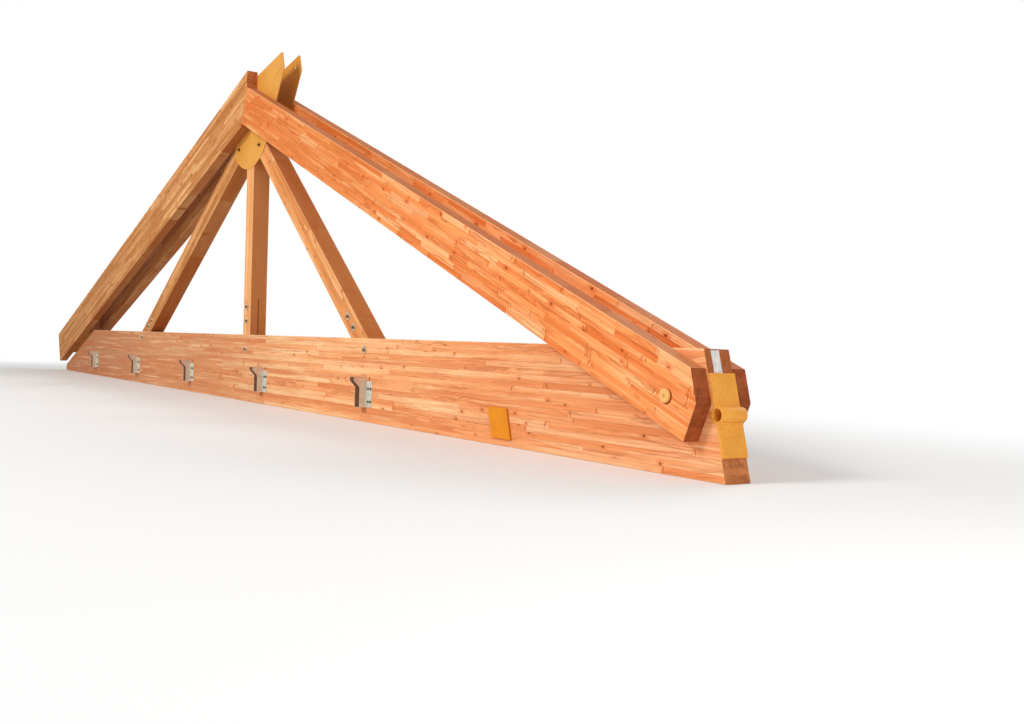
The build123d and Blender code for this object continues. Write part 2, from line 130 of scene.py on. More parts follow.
class Graph:
    """Short forms for building a material's node tree."""

    def __init__(self, name):
        self.material = bpy.data.materials.new(name)
        self.material.use_nodes = True
        self.tree = self.material.node_tree
        self.tree.nodes.clear()
        self.output = self.tree.nodes.new("ShaderNodeOutputMaterial")
        self.shader = self.tree.nodes.new("ShaderNodeBsdfPrincipled")
        self.link(self.shader.outputs[0], self.output.inputs["Surface"])

    def link(self, source, target):
        self.tree.links.new(source, target)

    def put(self, target, value):
        """Sets a socket, or links it if the value is an output."""
        if isinstance(value, bpy.types.NodeSocket):
            self.link(value, target)
        else:
            target.default_value = value

    def math(self, operation, a, b=0.0):
        node = self.tree.nodes.new("ShaderNodeMath")
        node.operation = operation
        self.put(node.inputs[0], a)
        self.put(node.inputs[1], b)
        return node.outputs[0]

    def plus(self, a, b):
        return self.math("ADD", a, b)

    def minus(self, a, b):
        return self.math("SUBTRACT", a, b)

    def times(self, a, b):
        return self.math("MULTIPLY", a, b)

    def over(self, a, b):
        return self.math("DIVIDE", a, b)

    def away(self, a, b):
        """Distance between two numbers."""
        return self.math("ABSOLUTE", self.minus(a, b))

    def swing(self, value, width):
        """Value from 0 to 1 turned into a swing of a given width about zero."""
        return self.times(self.minus(value, 0.5), width)

    def vector(self, operation, a, b=(0.0, 0.0, 0.0)):
        node = self.tree.nodes.new("ShaderNodeVectorMath")
        node.operation = operation
        self.put(node.inputs[0], a)
        self.put(node.inputs[1], b)
        return node.outputs["Value" if operation in ("DOT_PRODUCT", "LENGTH") else "Vector"]

    def combine(self, x, y, z):
        node = self.tree.nodes.new("ShaderNodeCombineXYZ")
        for socket, value in zip(node.inputs, (x, y, z)):
            self.put(socket, value)
        return node.outputs[0]

    def split(self, value):
        node = self.tree.nodes.new("ShaderNodeSeparateXYZ")
        self.put(node.inputs[0], value)
        return node.outputs

    def remap(self, value, low, high, to_low=0.0, to_high=1.0, smooth=False):
        node = self.tree.nodes.new("ShaderNodeMapRange")
        node.interpolation_type = "SMOOTHSTEP" if smooth else "LINEAR"
        for socket, number in zip(node.inputs, (value, low, high, to_low, to_high)):
            self.put(socket, number)
        return node.outputs[0]

    def noise(self, place, scale=1.0, detail=3.0, roughness=0.55):
        node = self.tree.nodes.new("ShaderNodeTexNoise")
        self.put(node.inputs["Vector"], place)
        node.inputs["Scale"].default_value = scale
        node.inputs["Detail"].default_value = detail
        node.inputs["Roughness"].default_value = roughness
        return node.outputs[0]

    def random(self, place):
        """Random number and colour of a cell given by a vector."""
        node = self.tree.nodes.new("ShaderNodeTexWhiteNoise")
        node.noise_dimensions = "3D"
        self.put(node.inputs["Vector"], place)
        return node.outputs["Value"], node.outputs["Color"]

    def cells(self, place, scale=1.0, randomness=1.0):
        node = self.tree.nodes.new("ShaderNodeTexVoronoi")
        self.put(node.inputs["Vector"], place)
        node.inputs["Scale"].default_value = scale
        node.inputs["Randomness"].default_value = randomness
        return node

    def ramp(self, value, stops):
        node = self.tree.nodes.new("ShaderNodeValToRGB")
        elements = node.color_ramp.elements
        while len(elements) < len(stops):
            elements.new(0.5)
        for element, (place, colour) in zip(elements, stops):
            element.position = place
            element.color = (*colour, 1.0)
        self.put(node.inputs[0], value)
        return node.outputs[0]

    def mix(self, share, a, b):
        node = self.tree.nodes.new("ShaderNodeMix")
        node.data_type = "RGBA"
        self.put(node.inputs[0], share)
        for socket, value in ((node.inputs[6], a), (node.inputs[7], b)):
            if isinstance(value, tuple):
                value = (*value, 1.0)
            self.put(socket, value)
        return node.outputs[2]

    def tint(self, colour, other, value, levels, smooth=False):
        """Mixes another colour in as a value runs from a first level to a second, up to a third number."""
        start, full, share = levels
        return self.mix(self.remap(value, start, full, 0.0, share, smooth), colour, other)

    def bump(self, height, strength, distance):
        node = self.tree.nodes.new("ShaderNodeBump")
        node.inputs["Strength"].default_value = strength
        node.inputs["Distance"].default_value = distance
        self.put(node.inputs["Height"], height)
        self.link(node.outputs[0], self.shader.inputs["Normal"])

    def place(self):
        return self.tree.nodes.new("ShaderNodeTexCoord").outputs["Object"]

    def looking(self, direction):
        """1 where the surface looks along a direction, -1 where it looks against it."""
        normal = self.tree.nodes.new("ShaderNodeNewGeometry").outputs["Normal"]
        return self.vector("DOT_PRODUCT", normal, direction)

    def facing(self, direction):
        """1 where the surface looks along a direction or against it, 0 where it doesn't."""
        return self.math("ABSOLUTE", self.looking(direction))


def srgb(red, green, blue):
    """Colour given as 0 to 255 display values, as the shader wants it."""
    values = []
    for channel in (red, green, blue):
        c = channel / 255
        values.append(c / 12.92 if c <= 0.04045 else ((c + 0.055) / 1.055) ** 2.4)
    return tuple(values)


def scaled(colour, factors):
    """Colour with each channel times its own factor."""
    return tuple(min(1.0, channel * factor) for channel, factor in zip(colour, factors))


# Timber tones, from the darkest board to the lightest
CHORD_TONES = [
    (0.0, srgb(226, 144, 92)),
    (0.35, srgb(244, 170, 114)),
    (0.7, srgb(250, 184, 128)),
    (1.0, srgb(254, 208, 156)),
]
RIGHT_TONES = [
    (0.0, srgb(226, 124, 60)),
    (0.35, srgb(246, 148, 84)),
    (0.7, srgb(252, 164, 98)),
    (1.0, srgb(255, 192, 134)),
]
LEFT_TONES = [
    (0.0, srgb(184, 118, 60)),
    (0.4, srgb(202, 140, 80)),
    (0.7, srgb(214, 154, 94)),
    (1.0, srgb(230, 178, 118)),
]
POST_TONES = [
    (0.0, srgb(228, 156, 96)),
    (0.4, srgb(240, 176, 114)),
    (0.7, srgb(246, 186, 124)),
    (1.0, srgb(250, 200, 146)),
]
WEB_TONES = [
    (0.0, srgb(206, 126, 66)),
    (0.4, srgb(226, 150, 86)),
    (0.7, srgb(236, 166, 102)),
    (1.0, srgb(246, 194, 138)),
]
CHORD_RED = srgb(222, 126, 72)
CHORD_FAR_PAINTED_SHADE = srgb(184, 126, 88)
CHORD_FARTHEST_PAINTED_SHADE = srgb(150, 100, 70)
LEFT_LOW_PAINTED_SHADE = srgb(160, 96, 46)
RIGHT_RED = srgb(200, 116, 48)
END_BROWN = srgb(142, 70, 34)
CHORD_END_BROWN = srgb(174, 104, 58)
RIDGE_END_BROWN = srgb(180, 104, 56)
SIDE_PAINTED_SHADE = srgb(170, 90, 36)
TOP_PAINTED_SHADE = srgb(166, 106, 70)
HANGER_ZINC = srgb(220, 228, 220)
HANGER_PAINTED_REFLECTION = srgb(214, 164, 122)
HANGER_SHADE = srgb(124, 92, 70)

# In the groups below, the three numbers of a tint are its start, where it is full and its largest share.
# Four numbers are a remap: two levels, and what they become

# Rows of boards: seeds, and shifts along the row in board lengths
ROW_SEED = 3.7
ROW_SHIFT = 7.0
STAGGER = 1.6
STAGGER_RATE = 0.45
BOARD_SEED = 0.5
BOARD_JUMPS = (90.0, 50.0)

# Grain as noise: cycles per metre along, through and across the timber, then detail and roughness
WANDER_RATES = (6.0, 18.0, 26.0)
WANDER = (WANDER_RATES, 2.0, 0.5)
BAND = ((1.1, 12.0, 42.0), 2.0, 0.5)
STREAK = ((3.2, 60.0, 150.0), 3.0, 0.6)
FIBRE = ((10.0, 240.0, 260.0), 3.0, 0.65)
PATCH_RATES = (1.6, 5.0, 7.0)
PORES = (260.0, 3.0, 0.7)
BLOTCH = (24.0, 5.0, 0.72)

# Growth rings: the pith's place in lamellas across and in metres through, widths in metres
PITH_ROWS = (-1.5, 2.5)
PITH_SIDE = 0.14
PITH_DRIFT = 0.06
DRIFT_RATE = 1.8
RING_WANDER = 0.012
RING_WIDTHS = (0.004, 0.010)
LATE_RISE = (0.35, 0.9)
LATE_FALL = (0.93, 1.0, 1.0, 0.0)
FADE_RATE = 0.3
FADE = (0.40, 0.62, 0.12, 1.0)

# Knots: cells along, through and across, and sizes in metres
KNOT_RATE_ALONG = 3.2
KNOT_RATE_THROUGH = 9.0
KNOT_ROW_SHIFT = 37.0
KNOT_SEED = 3.1
KNOT_RANDOMNESS = 0.9
KNOT_STRETCH = (0.21, 0.01)
KNOT_WOBBLE = 0.008
KNOT_WOBBLE_RATE = 70.0
KNOT_SIZES = (0.0035, 0.0095)
KNOT_CORE = (0.4, 1.4, 1.0, 0.0)
KNOT_HALO = (0.9, 4.5, 1.0, 0.0)

# Joints of the boards, in metres, with the shares of the dark tone
JOINT_LINE = (0.0005, 0.003, 0.22, 0.0)
FINGER_LEAN = 0.008
FINGER_PITCH = 0.0105
FINGER_LINE = (0.0025, 0.0065, 0.75, 0.0)
FINGER_REACH = 0.027
FINGER_FADE = (0.25, 0.45, 1.0, 0.2)

# Tones made from the darkest, the lightest and the end tone: factors of red, green and blue
LIGHTER = (1.04, 1.10, 1.15)
REDDER = (0.92, 0.70, 0.52)
DARKER = (0.62, 0.42, 0.28)
KNOT_DARK = (0.34, 0.19, 0.12)
END_LIGHTER = (1.6, 1.75, 2.0)
END_DARKER = (0.46, 0.36, 0.32)

# Tints of the long faces
BAND_RED = (0.52, 0.75, 0.55)
BAND_LIGHT = (0.46, 0.28, 0.55)
STREAK_RED = (0.52, 0.75, 0.55)
FIBRE_DARK = (0.52, 0.78, 0.45)
LATE_SHARE = 0.55
HALO_SHARE = 0.6
CORE_SHARE = 0.88
GLUE_LINE = (0.455, 0.495, 0.0, 0.42)
TOP_SHADE_LEVELS = (0.85, 0.92, 0.42)
EDGE_WEAR_AND_HIGHLIGHT = (0.0045, 0.0015, 0.6)
PATCH_SHIFT = (0.3, 0.7, -0.2, 0.2)
PIN_GAP_SHIFT = (0.010, -0.003)
PIN_GAP_SHADE = (0.003, 0.0005, 0.92)

# Faces that look along a direction, and tints of the cut ends
SIDE_FACES = (0.7, 0.9)
END_FACES = (0.55, 0.75)
END_BOARD_LIGHT = (0.0, 1.0, 0.7)
END_BLOTCH_LIGHT = (0.52, 0.36, 0.8)
END_BLOTCH_DARK = (0.52, 0.66, 0.5)
END_PORES_DARK = (0.45, 0.75, 0.6)
END_LATE_SHARE = 0.6
END_TOP_PAINTED_SHADE = (0.70 * CHORD_DEPTH, 0.85 * CHORD_DEPTH, 0.6)

# Gloss and relief of the wood
WOOD_ROUGHNESS = (0.3, 0.7, 0.6, 0.75)
WOOD_SPECULAR = 0.12
FIBRE_HEIGHT = 0.6
GLUE_DEPTH = 0.8
LATE_DEPTH = 0.3
KNOT_DEPTH = 0.6


class Glulam(Graph):
    """Rows of glued boards along an angle above +X, with the rows counted from an edge point (x, z)."""

    def __init__(self, node, angle, base, seed, layers, depth, board):
        super().__init__(node + "_timber")
        self.seed = seed
        self.depth = depth
        self.layer = depth / layers
        self.board = board
        self.along = (cos(radians(angle)), 0.0, sin(radians(angle)))
        self.across = (-sin(radians(angle)), 0.0, cos(radians(angle)))
        self.at = self.place()
        self.x, self.y, self.z = self.split(self.at)
        local = self.vector("SUBTRACT", self.at, (base[0], 0.0, base[1]))
        self.u = self.vector("DOT_PRODUCT", local, self.along)
        self.v = self.vector("DOT_PRODUCT", local, self.across)

        self.row_place = self.over(self.v, self.layer)
        self.in_row = self.math("FRACT", self.row_place)
        row = self.math("FLOOR", self.row_place)
        self.row_random = self.random(self.combine(row, seed, ROW_SEED))[0]
        shifted = self.plus(self.over(self.u, board), self.times(self.row_random, ROW_SHIFT))
        stagger = self.noise(self.combine(self.times(shifted, STAGGER_RATE), row, seed), detail=0.0)
        self.board_place = self.plus(shifted, self.times(stagger, STAGGER))
        board_index = self.math("FLOOR", self.board_place)
        self.value, colour = self.random(self.combine(board_index, row, seed + BOARD_SEED))
        self.parts = self.split(colour)
        jumps = (self.times(part, jump) for part, jump in zip((self.value, self.parts[0]), BOARD_JUMPS))
        self.jump = self.combine(*jumps, 0.0)

    def stretched(self, rates):
        """Place in the timber, in cycles along, through and across it."""
        return self.combine(*(self.times(*pair) for pair in zip((self.u, self.y, self.v), rates)))

    def in_board(self, rates):
        """Stretched place that starts afresh in each board."""
        return self.vector("ADD", self.stretched(rates), self.jump)

    def grain(self, pattern):
        """Noise drawn out along the timber, with a cut at each board's end."""
        rates, detail, roughness = pattern
        return self.noise(self.in_board(rates), 1.0, detail, roughness)

    def late_wood(self):
        """Dark part of the growth rings round a pith that lies off each board and wanders along it."""
        pith_v = self.remap(self.parts[0], 0.0, 1.0, *(rows * self.layer for rows in PITH_ROWS))
        pith_y = self.remap(self.parts[1], 0.0, 1.0, -PITH_SIDE, PITH_SIDE)
        drift_place = self.combine(self.times(self.u, DRIFT_RATE), 0.0, 0.0)
        drift = self.noise(self.vector("ADD", drift_place, self.jump), detail=2.0)
        from_pith = self.minus(self.times(self.in_row, self.layer), pith_v)
        from_pith = self.plus(from_pith, self.swing(drift, PITH_DRIFT))
        radius = self.vector("LENGTH", self.combine(from_pith, self.minus(self.y, pith_y), 0.0))
        radius = self.plus(radius, self.swing(self.grain(WANDER), RING_WANDER))
        width = self.remap(self.parts[2], 0.0, 1.0, *RING_WIDTHS)
        ring = self.math("FRACT", self.over(radius, width))
        late = self.times(self.remap(ring, *LATE_RISE, smooth=True), self.remap(ring, *LATE_FALL))
        fade = self.noise(self.in_board(WANDER_RATES), FADE_RATE, detail=2.0)
        return self.times(late, self.remap(fade, *FADE))

    def knots(self, share):
        """Cores and halos of knots through the thickness, in a share of the cells of a cell pattern."""
        along = self.plus(self.times(self.u, KNOT_RATE_ALONG), self.times(self.row_random, KNOT_ROW_SHIFT))
        place = self.combine(along, self.times(self.y, KNOT_RATE_THROUGH), self.row_place)
        place = self.vector("ADD", place, (self.seed * KNOT_SEED, 0.0, 0.0))
        cell = self.cells(place, randomness=KNOT_RANDOMNESS)
        chance, size, _ = self.split(cell.outputs["Color"])
        offset = self.vector("SUBTRACT", place, cell.outputs["Position"])
        distance = self.vector("LENGTH", self.vector("MULTIPLY", offset, (*KNOT_STRETCH, self.layer)))
        wobble = self.swing(self.noise(self.at, KNOT_WOBBLE_RATE, detail=2.0), KNOT_WOBBLE)
        ratio = self.over(self.plus(distance, wobble), self.remap(size, 0.0, 1.0, *KNOT_SIZES))
        chosen = self.math("LESS_THAN", chance, share)
        core = self.times(self.remap(ratio, *KNOT_CORE, smooth=True), chosen)
        halo = self.times(self.remap(ratio, *KNOT_HALO, smooth=True), chosen)
        return core, halo

    def joints(self, share):
        """Thin line at each board's end, and leaning lines where a share of them shows its fingers."""
        to_end = self.minus(0.5, self.away(self.math("FRACT", self.board_place), 0.5))
        to_end = self.times(to_end, self.board)
        leaning = self.plus(to_end, self.times(self.in_row, FINGER_LEAN))
        fingers = self.remap(self.math("PINGPONG", leaning, FINGER_PITCH), *FINGER_LINE)
        fingers = self.times(fingers, self.math("LESS_THAN", to_end, FINGER_REACH))
        fingers = self.times(fingers, self.remap(self.away(self.in_row, 0.5), *FINGER_FADE))
        fingers = self.times(fingers, self.math("LESS_THAN", self.parts[2], share))
        return self.math("MAXIMUM", self.remap(to_end, *JOINT_LINE), fingers)

    def from_long_edge(self, box):
        """Distance from the nearest long edge of the timber."""
        low, high = box
        to_side = self.minus((high.y - low.y) / 2, self.away(self.y, (low.y + high.y) / 2))
        depth_place = self.math("ABSOLUTE", self.v)
        to_face = self.math("MINIMUM", depth_place, self.away(depth_place, self.depth))
        return self.math("MAXIMUM", to_side, to_face)


def glulam(
    node, angle, base, seed, tones, end_tone, layers, depth, board,
    knots=0.2, fingers=0.3, tone_and_shade_shifts=(), pin=None, sides=0.0,
):
    """Material of a glued laminated timber.

    The seed gives each timber a grain of its own, layers is the number of rows in its depth, and
    board is the usual length of its boards. Tones run from the darkest board to the lightest, and
    end_tone is the colour of the cut ends. Knots is the share of cells with a knot, and fingers
    the share of joints with visible fingers. Each entry of the tone and shade shifts (start, end,
    share, colour) mixes a colour in, more and more between two distances along the timber; some
    entries are the wood's own tone, others painted shade towards its far end. A pin (x, z, radius)
    gets a loose hole round it, its gap drawn as a dark crescent of painted shade. Sides is the
    share of painted shade, a brown, on the faces that look across the rows.
    """
    g = Glulam(node, angle, base, seed, layers, depth, board)
    late = g.late_wood()
    band, streak, fibre = (g.grain(pattern) for pattern in (BAND, STREAK, FIBRE))
    patch = g.noise(g.stretched(PATCH_RATES), detail=2.0)
    knot_core, knot_halo = g.knots(knots)
    joint = g.joints(fingers)
    glue = g.remap(g.away(g.in_row, 0.5), *GLUE_LINE, smooth=True)

    # Colours of the long faces
    darkest = tones[0][1]
    lightest = tones[-1][1]
    light = scaled(lightest, LIGHTER)
    red = scaled(darkest, REDDER)
    dark = scaled(darkest, DARKER)
    knot_and_gap_shade_tone = scaled(darkest, KNOT_DARK)
    colour = g.ramp(g.plus(g.value, g.remap(patch, *PATCH_SHIFT)), tones)
    # Shifts along the timber: some are the wood's own tone, some are painted shade towards its far end
    for start, end, share, shift_colour in tone_and_shade_shifts:
        colour = g.tint(colour, shift_colour, g.u, (start, end, share), smooth=True)
    colour = g.tint(colour, red, band, BAND_RED)
    colour = g.tint(colour, light, band, BAND_LIGHT)
    colour = g.tint(colour, red, streak, STREAK_RED)
    colour = g.mix(g.times(late, LATE_SHARE), colour, dark)
    colour = g.tint(colour, dark, fibre, FIBRE_DARK)
    colour = g.mix(g.times(knot_halo, HALO_SHARE), colour, red)
    colour = g.mix(g.times(knot_core, CORE_SHARE), colour, knot_and_gap_shade_tone)
    colour = g.mix(glue, colour, dark)
    colour = g.mix(joint, colour, dark)
    # Painted shade: faces that look across the rows turn a darker brown
    if sides:
        colour = g.tint(colour, SIDE_PAINTED_SHADE, g.facing(g.across), (*SIDE_FACES, sides))
    # Painted shade: faces that look up turn a warmer, darker brown
    colour = g.tint(colour, TOP_PAINTED_SHADE, g.looking(Z_AXIS), TOP_SHADE_LEVELS)
    # Lighter band along the long edges: light edge wear, and painted highlight where the eased arrises
    # catch the light
    colour = g.tint(colour, light, g.from_long_edge(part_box(node)), EDGE_WEAR_AND_HIGHLIGHT)
    # Painted shade: a dark crescent round the pin, where the gap of its loose hole lies in shade
    if pin:
        x, z, radius = pin
        gap_x = g.minus(g.x, x + PIN_GAP_SHIFT[0])
        gap_z = g.minus(g.z, z + PIN_GAP_SHIFT[1])
        from_pin = g.minus(g.vector("LENGTH", g.combine(gap_x, 0.0, gap_z)), radius)
        colour = g.tint(colour, knot_and_gap_shade_tone, from_pin, PIN_GAP_SHADE)

    # Cut ends, darker, with the rings as arcs and the rows as bands
    end_light = scaled(end_tone, END_LIGHTER)
    end_dark = scaled(end_tone, END_DARKER)
    pores = g.noise(g.at, *PORES)
    blotch = g.noise(g.at, *BLOTCH)
    end_colour = g.tint(end_tone, end_light, g.value, END_BOARD_LIGHT)
    end_colour = g.tint(end_colour, end_light, blotch, END_BLOTCH_LIGHT)
    end_colour = g.mix(g.times(late, END_LATE_SHARE), end_colour, end_dark)
    end_colour = g.tint(end_colour, end_dark, pores, END_PORES_DARK)
    end_colour = g.tint(end_colour, end_dark, blotch, END_BLOTCH_DARK)
    end_colour = g.mix(glue, end_colour, end_dark)
    # Painted shade: the colour turns dark brown high on the chord's cut end
    end_colour = g.tint(end_colour, END_BROWN, g.v, END_TOP_PAINTED_SHADE)
    end_share = g.remap(g.facing(g.along), *END_FACES)
    g.link(g.mix(end_share, colour, end_colour), g.shader.inputs["Base Color"])
    g.link(g.remap(fibre, *WOOD_ROUGHNESS), g.shader.inputs["Roughness"])
    g.shader.inputs["Specular IOR Level"].default_value = WOOD_SPECULAR
    relief = g.minus(g.times(fibre, FIBRE_HEIGHT), g.times(glue, GLUE_DEPTH))
    relief = g.minus(relief, g.times(late, LATE_DEPTH))
    relief = g.minus(relief, g.times(knot_core, KNOT_DEPTH))
    g.bump(relief, strength=0.35, distance=0.0008)
    return g.material


# Paint: noise as scale, detail and roughness, then tints and remaps as for the wood.
# A turned ring is its middle and half its width as shares of the radius, and its share of soil
PAINT_CLOUD = (3.5, 4.0, 0.6)
PAINT_FINE = (140.0, 3.0, 0.6)
PAINT_GRIME = (17.0, 5.0, 0.7)
PAINT_SPECK = (75.0, 4.0, 0.75)
SPECK_DEEP = (0.5, 0.68, 0.7)
SPECK_PALE = (0.48, 0.34, 0.6)
GRIME_DEEP = (0.56, 0.76, 0.4)
GRIME_SOIL = (0.70, 0.80, 0.45)
SCORE_LINE = (0.0015, 0.004, 1.0, 0.0)
SCORE_SHARE = 0.6
TURNED_RINGS = ((0.24, 0.10, 0.55), (0.72, 0.05, 0.3))
RING_CORE = 0.3
RIM_SOIL = (0.90, 0.98, 0.35)
X_FACE_PAINTED_SHADE = (0.7, 0.9, 0.75)
PAINT_DEEP = (0.88, 0.83, 0.72)
PAINT_PALE = (1.05, 1.08, 1.18)
PAINT_SOIL_AND_SHADE = (0.5, 0.42, 0.34)
PAINT_ROUGHNESS = (0.3, 0.7, 0.50, 0.66)
PAINT_SPECULAR = 0.16
CLOUD_LEVELS = (0.35, 0.65)
GRIME_HEIGHT = 1.5


def painted_steel(name, colour, score=None, turned=None, shaded_x_faces=False):
    """Thick matt paint on steel, with clouds and dust.

    It may have a score line between two points (x, z), turning marks round an axis (x, z, radius)
    or painted shade on its edges, which on a plate of the XZ plane are the faces that look along X.
    """
    g = Graph(name)
    place = g.place()
    cloud, fine, grime, speck = (
        g.noise(place, *pattern) for pattern in (PAINT_CLOUD, PAINT_FINE, PAINT_GRIME, PAINT_SPECK)
    )
    deep = scaled(colour, PAINT_DEEP)
    pale = scaled(colour, PAINT_PALE)
    soil_and_shade = scaled(colour, PAINT_SOIL_AND_SHADE)
    tone = g.mix(g.remap(cloud, *CLOUD_LEVELS), deep, pale)
    tone = g.tint(tone, deep, speck, SPECK_DEEP)
    tone = g.tint(tone, pale, speck, SPECK_PALE)
    tone = g.tint(tone, deep, grime, GRIME_DEEP)
    tone = g.tint(tone, soil_and_shade, grime, GRIME_SOIL)
    relief = g.plus(fine, g.times(grime, GRIME_HEIGHT))
    if score:
        start, end = (Vector((x, 0.0, z)) for x, z in score)
        run = (end - start).normalized()
        side = Vector((-run.z, 0.0, run.x))
        local = g.vector("SUBTRACT", place, tuple(start))
        off = g.math("ABSOLUTE", g.vector("DOT_PRODUCT", local, tuple(side)))
        down = g.vector("DOT_PRODUCT", local, tuple(run))
        inside = g.math("GREATER_THAN", down, 0.0)
        inside = g.times(inside, g.math("LESS_THAN", down, (end - start).length))
        line = g.times(g.remap(off, *SCORE_LINE), inside)
        tone = g.mix(g.times(line, SCORE_SHARE), tone, soil_and_shade)
        relief = g.minus(relief, line)
    if turned:
        axis_x, axis_z, radius = turned
        x, _, z = g.split(place)
        from_axis = g.combine(g.minus(x, axis_x), 0.0, g.minus(z, axis_z))
        ratio = g.over(g.vector("LENGTH", from_axis), radius)
        for middle, half, share in TURNED_RINGS:
            tone = g.tint(tone, soil_and_shade, g.away(ratio, middle), (half, half * RING_CORE, share))
        tone = g.tint(tone, soil_and_shade, ratio, RIM_SOIL)
    # Painted shade: the faces that look along X turn dark
    if shaded_x_faces:
        tone = g.tint(tone, soil_and_shade, g.facing(X_AXIS), X_FACE_PAINTED_SHADE)
    g.link(tone, g.shader.inputs["Base Color"])
    g.link(g.remap(fine, *PAINT_ROUGHNESS), g.shader.inputs["Roughness"])
    g.shader.inputs["Specular IOR Level"].default_value = PAINT_SPECULAR
    g.bump(relief, strength=0.12, distance=0.0008)
    return g.material


# Zinc: noise as scale, detail and roughness, then tints and shares
ZINC_CLOUD = (22.0, 4.0, 0.6)
ZINC_CLOUD_DARK = (0.5, 0.75, 0.35)
CRYSTAL_BEND_RATE = 40.0
CRYSTAL_BEND = (0.01, 0.0, 0.0)
CHEEK_PAINTED_REFLECTION = 0.55
INSIDE_SHADE = 0.75
HOLE_SHADE = 0.9
CRYSTAL_DARK = (0.8, 0.8, 0.8)
CRYSTAL_BRIGHT = (1.12, 1.12, 1.12)
ZINC_STAIN = (0.6, 0.6, 0.6)
ZINC_ROUGHNESS = (0.30, 0.46)


def zinc(name, colour, spangle, metallic=0.85, hanger=None):
    """Zinc-coated steel with a pattern of crystals of a given size.

    For a hanger, given by its middle x, the cheeks get a painted warm reflection of the timber,
    and between them painted shade darkens the inside; the wings have small open nail holes,
    drawn as spots of the same painted shade.
    """
    g = Graph(name)
    place = g.place()
    bend = g.combine(g.noise(place, CRYSTAL_BEND_RATE), 0.0, 0.0)
    bent = g.vector("ADD", place, g.vector("MULTIPLY", bend, CRYSTAL_BEND))
    crystal = g.split(g.cells(bent, 1 / spangle).outputs["Color"])[0]
    cloud = g.noise(place, *ZINC_CLOUD)
    tone = g.mix(crystal, scaled(colour, CRYSTAL_DARK), scaled(colour, CRYSTAL_BRIGHT))
    tone = g.tint(tone, scaled(colour, ZINC_STAIN), cloud, ZINC_CLOUD_DARK)
    if hanger is not None:
        x, _, z = g.split(place)
        from_middle = g.away(x, hanger)
        # Painted reflection: faces that look along X take a warm tone of the timber
        cheek = g.remap(g.facing(X_AXIS), *SIDE_FACES)
        tone = g.mix(g.times(cheek, CHEEK_PAINTED_REFLECTION), tone, HANGER_PAINTED_REFLECTION)
        # Painted shade inside the hanger, between its cheeks
        inside = g.math("LESS_THAN", from_middle, HANGER_HALF - HANGER_STEEL / 2)
        tone = g.mix(g.times(inside, INSIDE_SHADE), tone, HANGER_SHADE)
        # Nail holes of the wings, drawn as dark spots of the same painted shade
        column = g.minus(from_middle, HANGER_HALF + SCREW_COLUMNS[0])
        rows = (g.combine(column, 0.0, g.minus(z, row)) for row in NAIL_ROWS)
        low, middle, high = (g.vector("LENGTH", row) for row in rows)
        nearest = g.math("MINIMUM", g.math("MINIMUM", low, middle), high)
        wing = g.remap(g.facing(Y_AXIS), *SIDE_FACES)
        hole = g.times(g.remap(nearest, *NAIL_EDGE, 0.0, HOLE_SHADE), wing)
        tone = g.mix(hole, tone, HANGER_SHADE)
    g.link(tone, g.shader.inputs["Base Color"])
    g.shader.inputs["Metallic"].default_value = metallic
    g.link(g.remap(crystal, 0.0, 1.0, *ZINC_ROUGHNESS), g.shader.inputs["Roughness"])
    g.bump(cloud, strength=0.1, distance=0.0005)
    return g.material


# Paper: colours, noise as scale, detail and roughness, then tints
PAPER_WHITE = srgb(226, 224, 220)
PAPER_GREY = srgb(196, 194, 192)
PAPER_RUBBED = srgb(150, 134, 124)
CREASE = (35.0, 3.0, 0.6)
CREASE_GREY = (0.4, 0.7, 1.0)
RUB_RATES = (260.0, 45.0)
RUB = (1.0, 4.0, 0.7)
RUBBED = (0.52, 0.68, 0.7)
PAPER_ROUGHNESS = 0.6


def paper(name):
    """Bare white label, a little crumpled and rubbed."""
    g = Graph(name)
    place = g.place()
    _, y, z = g.split(place)
    crease = g.noise(place, *CREASE)
    rub_place = g.combine(g.times(y, RUB_RATES[0]), 0.0, g.times(z, RUB_RATES[1]))
    rub = g.noise(rub_place, *RUB)
    tone = g.tint(PAPER_WHITE, PAPER_GREY, crease, CREASE_GREY)
    tone = g.tint(tone, PAPER_RUBBED, rub, RUBBED)
    g.link(tone, g.shader.inputs["Base Color"])
    g.shader.inputs["Roughness"].default_value = PAPER_ROUGHNESS
    g.bump(crease, strength=0.3, distance=0.001)
    return g.material


def pin_axis():
    """Middle (x, z) and radius of the heel's pin."""
    low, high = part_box("heel_pin")
    return (low.x + high.x) / 2, (low.z + high.z) / 2, (high.x - low.x) / 2


